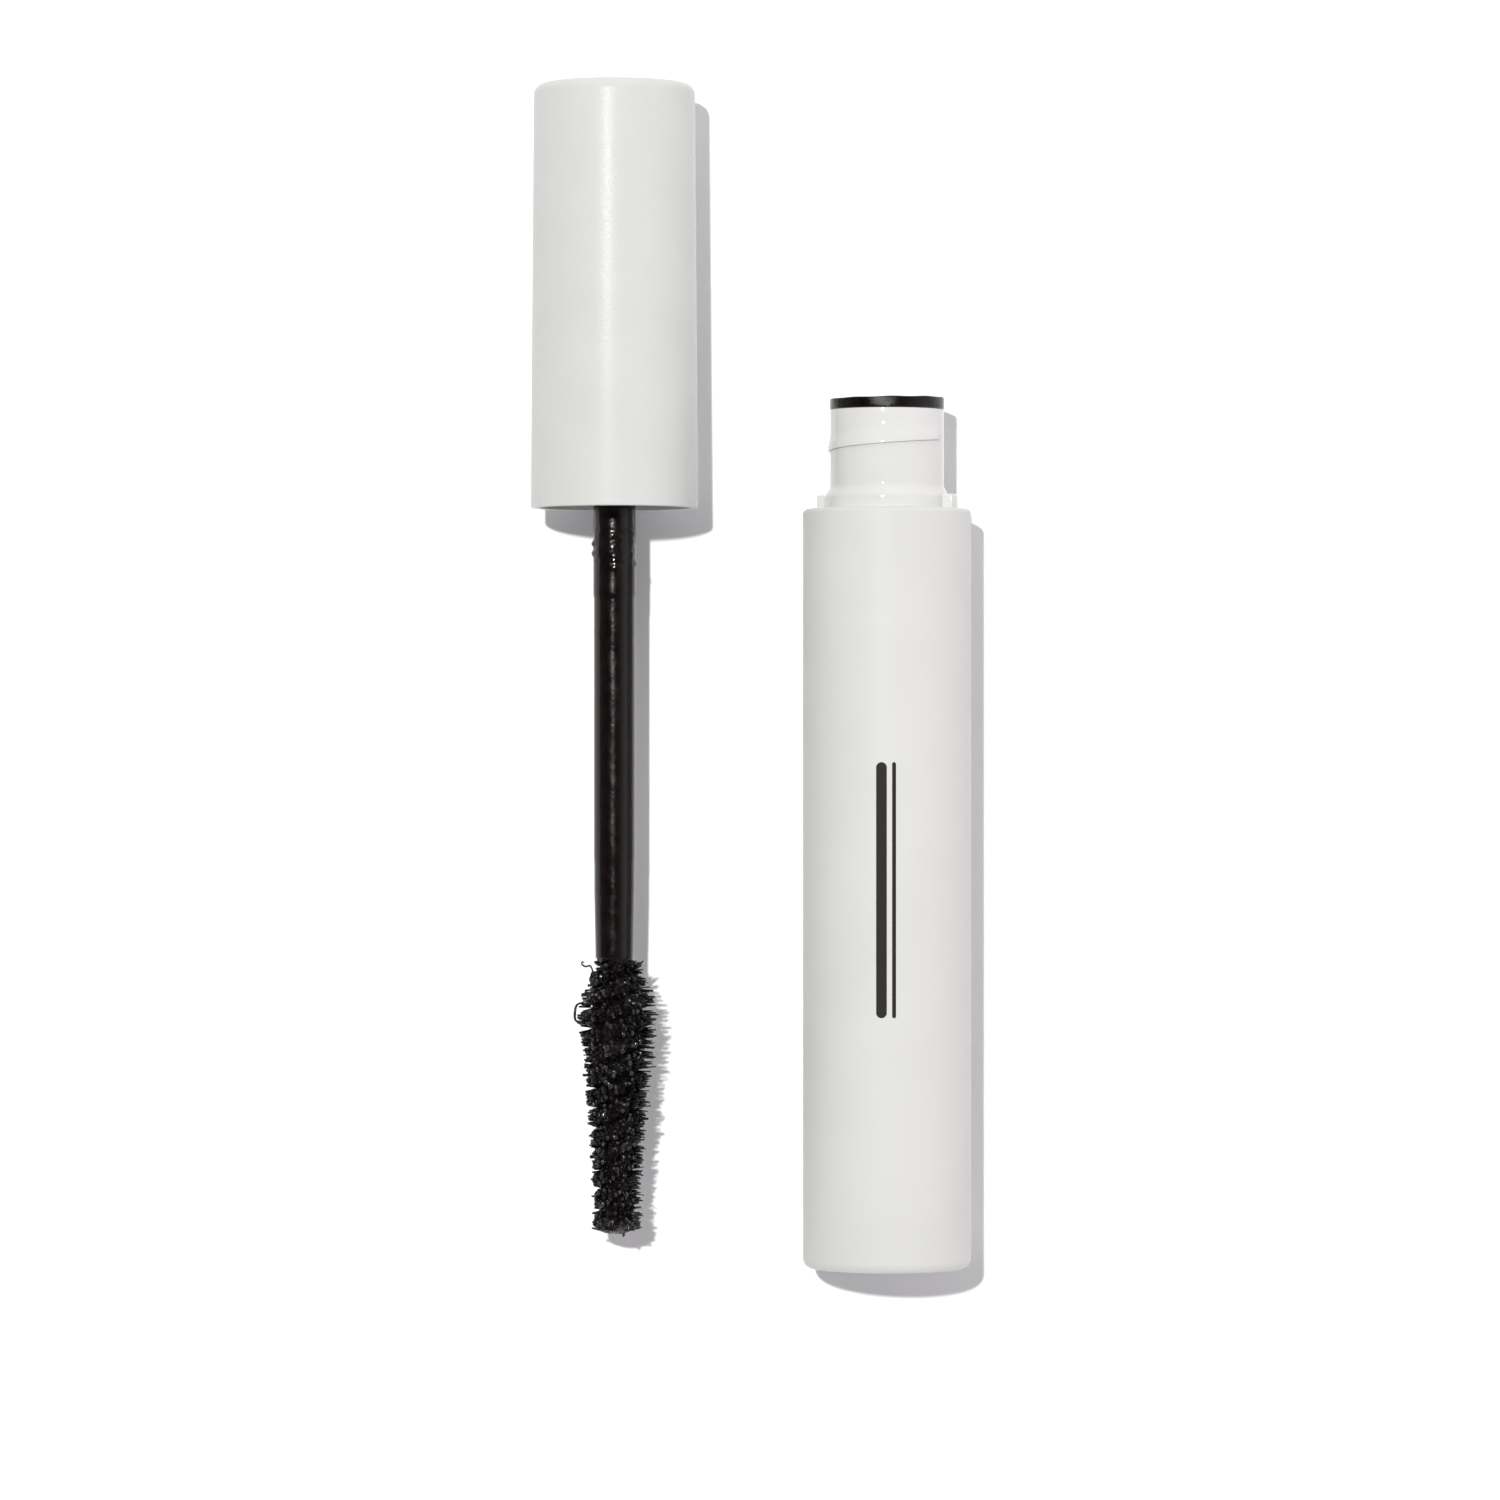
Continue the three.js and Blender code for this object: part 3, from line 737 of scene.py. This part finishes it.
def make_bristles():
    """Fibres through the twisted wire, drawn together into tufts by mascara. The
    tufts end square on the -X side and run out to points on the +X side."""
    draw = np.random.default_rng(SEED)
    low = min(mm(r.start) for r in rows)
    high = max(mm(r.end) for r in rows)
    count = FIBRE_COUNT
    y = draw.uniform(low - 0.1, high, count)
    angle = draw.uniform(0, TURN, count)
    phase = row_phase(y, angle)
    row = np.floor(phase).astype(int)
    round_cell = angle / TURN * TUFTS_ROUND + 0.5 * (row % 2)
    along_cell = (phase - row) * TUFTS_ALONG + 0.5 * (np.floor(round_cell) % 2)
    cell = (row % ROW_SLOTS, np.floor(along_cell).astype(int), np.floor(round_cell).astype(int))
    size = (ROW_SLOTS, TUFTS_ALONG + 1, TUFTS_ROUND + 1)
    jitter = draw.uniform(-0.22, 0.22, (2, *size))
    groove = draw.uniform(0.74, 0.97, size[0])
    length = draw.normal(1.02, 0.045, size) - 0.12 * (draw.random(size) < 0.15)
    side = np.sin(angle)
    pull = draw.uniform(0.35, 0.6, count) + 0.3 * np.clip(side, 0, 1)
    to_along = (cell[1] + 0.5 + jitter[0][cell] - along_cell) / TUFTS_ALONG * ROW_HEIGHT
    to_round = (cell[2] + 0.5 + jitter[1][cell] - round_cell) / TUFTS_ROUND * TURN
    tip_y = y + to_along * pull + draw.normal(0, 0.02, count)
    middle = (row + 0.5 + 0.5 * side) * ROW_HEIGHT
    tip_y = np.maximum(middle + (tip_y - middle) * groove[row % ROW_SLOTS], low + 0.35)
    tip_angle = angle + to_round * pull + draw.normal(0, 0.015, count)
    reach = reach_at(tip_y, tip_angle) * length[cell] * draw.uniform(0.92, 1.01, count)
    stray = draw.random(count) < 0.05
    reach = np.where(stray, reach * draw.uniform(1.0, 1.07, count), reach)
    t = np.linspace(0, 1, FIBRE_STEPS)[None]
    r = 0.3 + (reach[:, None] - 0.3) * t
    swing = t**1.6
    a = angle[:, None] + (tip_angle - angle)[:, None] * swing
    wobble = draw.normal(0, 0.04, (count, 1)) * np.sin(math.pi * t)
    along = y[:, None] + (tip_y - y)[:, None] * swing + wobble
    paths = np.stack([stem.x + r * MM * np.sin(a), along * MM, stem.z + r * MM * np.cos(a)], 2)
    blunt = np.clip(-side, 0, 1)[:, None]
    thick = draw.uniform(0.07, 0.105, (count, 1)) * (1.15 - (0.6 - 0.5 * blunt) * t**2)
    clots = 0.04 * np.maximum(0, np.sin(t * 9 + draw.uniform(0, TURN, (count, 1)))) ** 4
    piece = strands("bristles", paths, (thick + clots) * MM, 4)
    return finished(piece, "wand", "bristle", fibre_black(), *ROW_NODES)


def make_brush_product():
    """The mascara packed between the rows, glossy and torn, with a clot on the
    brush's tip."""
    low, high = mm(wire.start), mm(stem.start)
    y_at = np.arange(low, high + 0.35, 0.062)

    def height(r, y, angle):
        reach = reach_at(y, angle)
        full_row = np.sin(math.pi * (row_phase(y, angle) % 1.0)) ** 0.6
        body = 0.55 + 0.22 * full_row
        tip = eased((low + 2.2 - y) / 1.2)
        body = body + tip * (0.93 - body)
        coarse = around_lumps(2.2, y, angle, 0.9, 2)
        fine = around_lumps(2.6, y, angle, 0.26, 3, shift=30)
        end = np.clip((y - low) / 1.1, 0, 1) ** 0.4
        start = eased((high + 0.3 - y) / 1.2)
        full = (reach * body + 0.3 * coarse + 0.3 * fine) * end
        return np.maximum(0.05, full * start + (STEM_TIP_RADIUS + 0.02) * (1 - start)) - r

    outline = [np.array((0, low - 0.02))] + [np.array((1.0, y)) for y in y_at]
    outline += [np.array((0, y_at[-1] + 0.02))]
    piece = lathe("brush_product", stem, outline, around=176, relief=height, sharp=0)
    return finished(piece, "wand", "mascara", wet_mascara("brush_mascara", (0.06, 0.14), 0.3, 0.05, 0.3))


BEAD_COUNT, BEAD_SIZES, BEAD_SPREAD = 230, (0.12, 0.22), 0.95  # sizes in mm, spread in radians


def make_brush_beads():
    """Small wet beads of mascara caught among the tufts; each takes a glint."""
    draw = np.random.default_rng(SEED + 1)
    low, high = mm(wire.start) + 0.5, mm(stem.start) - 0.2
    work = bmesh.new()
    for _ in range(BEAD_COUNT):
        y, angle = draw.uniform(low, high), draw.uniform(-BEAD_SPREAD, BEAD_SPREAD)
        out = reach_at(y, angle) * draw.uniform(0.88, 0.97)
        size = draw.uniform(*BEAD_SIZES)
        centre = Vector((stem.x / MM + out * math.sin(angle), y, stem.z / MM + out * math.cos(angle)))
        stretch = Vector(draw.uniform((0.9, 0.9, 0.5), (1.3, 1.5, 0.75)))
        bead = bmesh.ops.create_icosphere(work, subdivisions=2, radius=1)["verts"]
        for v in bead:
            swell = 1 + 0.12 * lumps(*(v.co + centre), 0.9)
            v.co = (centre + v.co * stretch * size * swell) * MM
    for face in work.faces:
        face.smooth = True
    return finished(from_bmesh("brush_beads", work), "wand", "mascara",
                    wet_mascara("bead_mascara", (0.07, 0.11), 0.3, 0.002, 1.0))


def strand_of(points, thickness, samples=60):
    """One hair-thin strand through points in mm, smooth between them."""
    points = np.array(points, float)
    t = np.linspace(0, len(points) - 1, samples)
    path = []
    for u in t:
        i = min(int(u), len(points) - 2)
        f = u - i
        p = [points[max(i - 1, 0)], points[i], points[i + 1], points[min(i + 2, len(points) - 1)]]
        path.append(0.5 * (2 * p[1] + (p[2] - p[0]) * f
                           + (2 * p[0] - 5 * p[1] + 4 * p[2] - p[3]) * f**2
                           + (3 * p[1] - p[0] - 3 * p[2] + p[3]) * f**3))
    taper = np.sin(np.linspace(0.35, math.pi - 0.2, samples)) ** 0.5
    return np.array(path) * MM, thickness * taper * MM


def make_stray_strands():
    """Strands pulled loose by the wiper: a curl and an arch on the -X side, a
    frayed clot beside the stem on the +X side, and spikes at the brush's tip."""
    x, z, start = mm(stem.x), mm(stem.z), mm(stem.start)
    curl = [(x - 1.9, start - 2.4, z + 1.0), (x - 2.2, start - 1.3, z + 1.4),
            (x - 2.5, start - 0.7, z + 1.6), (x - 3.0, start - 0.75, z + 1.7),
            (x - 3.35, start - 0.5, z + 1.7), (x - 3.3, start - 0.25, z + 1.7),
            (x - 3.1, start - 0.4, z + 1.7)]
    arch = [(x - 3.3, start - 6.6, z + 0.6), (x - 4.0, start - 6.4, z + 0.8),
            (x - 4.1, start - 5.6, z + 0.9), (x - 3.9, start - 4.8, z + 0.8),
            (x - 3.2, start - 4.5, z + 0.6)]
    fray = []
    draw = random.Random(SEED)
    for _ in range(9):
        tip = (x + draw.uniform(2.4, 3.1), start - draw.uniform(0.2, 1.5), z + draw.uniform(-0.4, 1.4))
        root = (x + 1.5, start - draw.uniform(0.8, 1.8), z + draw.uniform(0.2, 1.0))
        middle = tuple((p + q) / 2 + draw.uniform(-0.2, 0.2) for p, q in zip(root, tip))
        fray.append([root, middle, tip])
    foot = mm(wire.start)
    for _ in range(6):
        root = (x + draw.uniform(0.2, 1.1), foot + 1.2, z + draw.uniform(0.2, 0.9))
        tip = (x + draw.uniform(0.9, 1.9), foot + draw.uniform(-0.25, 0.3), z + draw.uniform(0.3, 1.0))
        fray.append([root, tuple((p + q) / 2 for p, q in zip(root, tip)), tip])
    made = [strand_of(curl, 0.1), strand_of(arch, 0.14)] + [strand_of(f, 0.12) for f in fray]
    piece = strands("stray_strands", [m[0] for m in made], [m[1] for m in made], 7,
                    flat=(0.2, 0.5, 0.84))
    return finished(piece, "wand", "mascara", wet_mascara("strand_mascara", (0.1, 0.3), 0.3, 0.03))


# ---- Stage, light and camera ------------------------------------------------

KEY_PLACE, KEY_LEVEL = (-0.251, 0.294, 1.541), 2.78
KEY_RADIUS, KEY_COLOR = 0.027, (1.0, 1.0, 0.965)
ROOM_EDGE, ROOM_COLOR = 0.26, (1.0, 0.975, 1.02, 1)
PANEL_FOCUS = 4.0  # how sharply each panel's light falls off around it
PANELS = [((1, 0, 0.25), 1.05), ((0, -1, 0.25), 1.26), ((0, 1, 0.25), 1.57)]
CAMERA_HEIGHT, CAMERA_CENTRE = 0.70, (-0.00009, -0.007725)
FRAME_WIDTH = 0.1563  # what the camera sees across, level with the sleeve's axis


def make_table():
    work = bmesh.new()
    bmesh.ops.create_circle(work, cap_ends=True, radius=4.0, segments=96)
    table = from_bmesh("table", work)
    table.data.materials.append(table_white())


def make_light():
    """A small bright light at the upper left, and soft panels low down on three
    sides; the room is dim overhead and brighter toward the horizon."""
    scene = bpy.context.scene
    scene.view_settings.view_transform = "Standard"
    world = bpy.data.worlds.new("studio")
    world.use_nodes = True
    tree = world.node_tree
    room = tree.nodes["Background"]
    room.inputs["Color"].default_value = ROOM_COLOR
    ray = tree.nodes.new("ShaderNodeTexCoord").outputs["Generated"]

    def math_node(operation, *values):
        made = tree.nodes.new("ShaderNodeMath")
        made.operation = operation
        for socket, value in zip(made.inputs, values):
            if isinstance(value, float):
                socket.default_value = value
            else:
                tree.links.new(value, socket)
        return made.outputs[0]

    def toward(direction):
        """Cosine between a ray and a direction, never below zero."""
        made = tree.nodes.new("ShaderNodeVectorMath")
        made.operation = "DOT_PRODUCT"
        tree.links.new(ray, made.inputs[0])
        made.inputs[1].default_value = Vector(direction).normalized()
        return math_node("MAXIMUM", made.outputs["Value"], 0.0)

    level = math_node("MULTIPLY", math_node("SUBTRACT", 1.0, toward((0, 0, 1))), ROOM_EDGE)
    for direction, strength in PANELS:
        panel = math_node("POWER", toward(direction), PANEL_FOCUS)
        level = math_node("MULTIPLY_ADD", panel, strength, level)
    tree.links.new(level, room.inputs["Strength"])
    scene.world = world
    lamp = bpy.data.lights.new("key", "POINT")
    away = Vector(KEY_PLACE)
    lamp.energy = KEY_LEVEL * 4 * math.pi * away.length_squared
    lamp.shadow_soft_size, lamp.color = KEY_RADIUS, KEY_COLOR
    key = bpy.data.objects.new("key", lamp)
    key.location = away
    scene.collection.objects.link(key)


def make_camera():
    """Straight down from above."""
    lens = bpy.data.cameras.new("camera")
    lens.lens = lens.sensor_width * (CAMERA_HEIGHT - sleeve.z) / FRAME_WIDTH
    lens.clip_start, lens.clip_end = 0.01, 20
    camera = bpy.data.objects.new("camera", lens)
    camera.location = (*CAMERA_CENTRE, CAMERA_HEIGHT)
    bpy.context.scene.collection.objects.link(camera)
    bpy.context.scene.camera = camera


make_camera()
make_light()
make_table()
for make in (make_sleeve, make_vial, make_wiper, make_mouth_product, make_paste, make_print,
             make_overcap, make_inner_cap, make_stem, make_wire, make_bristles,
             make_brush_product, make_brush_beads, make_stray_strands):
    make()
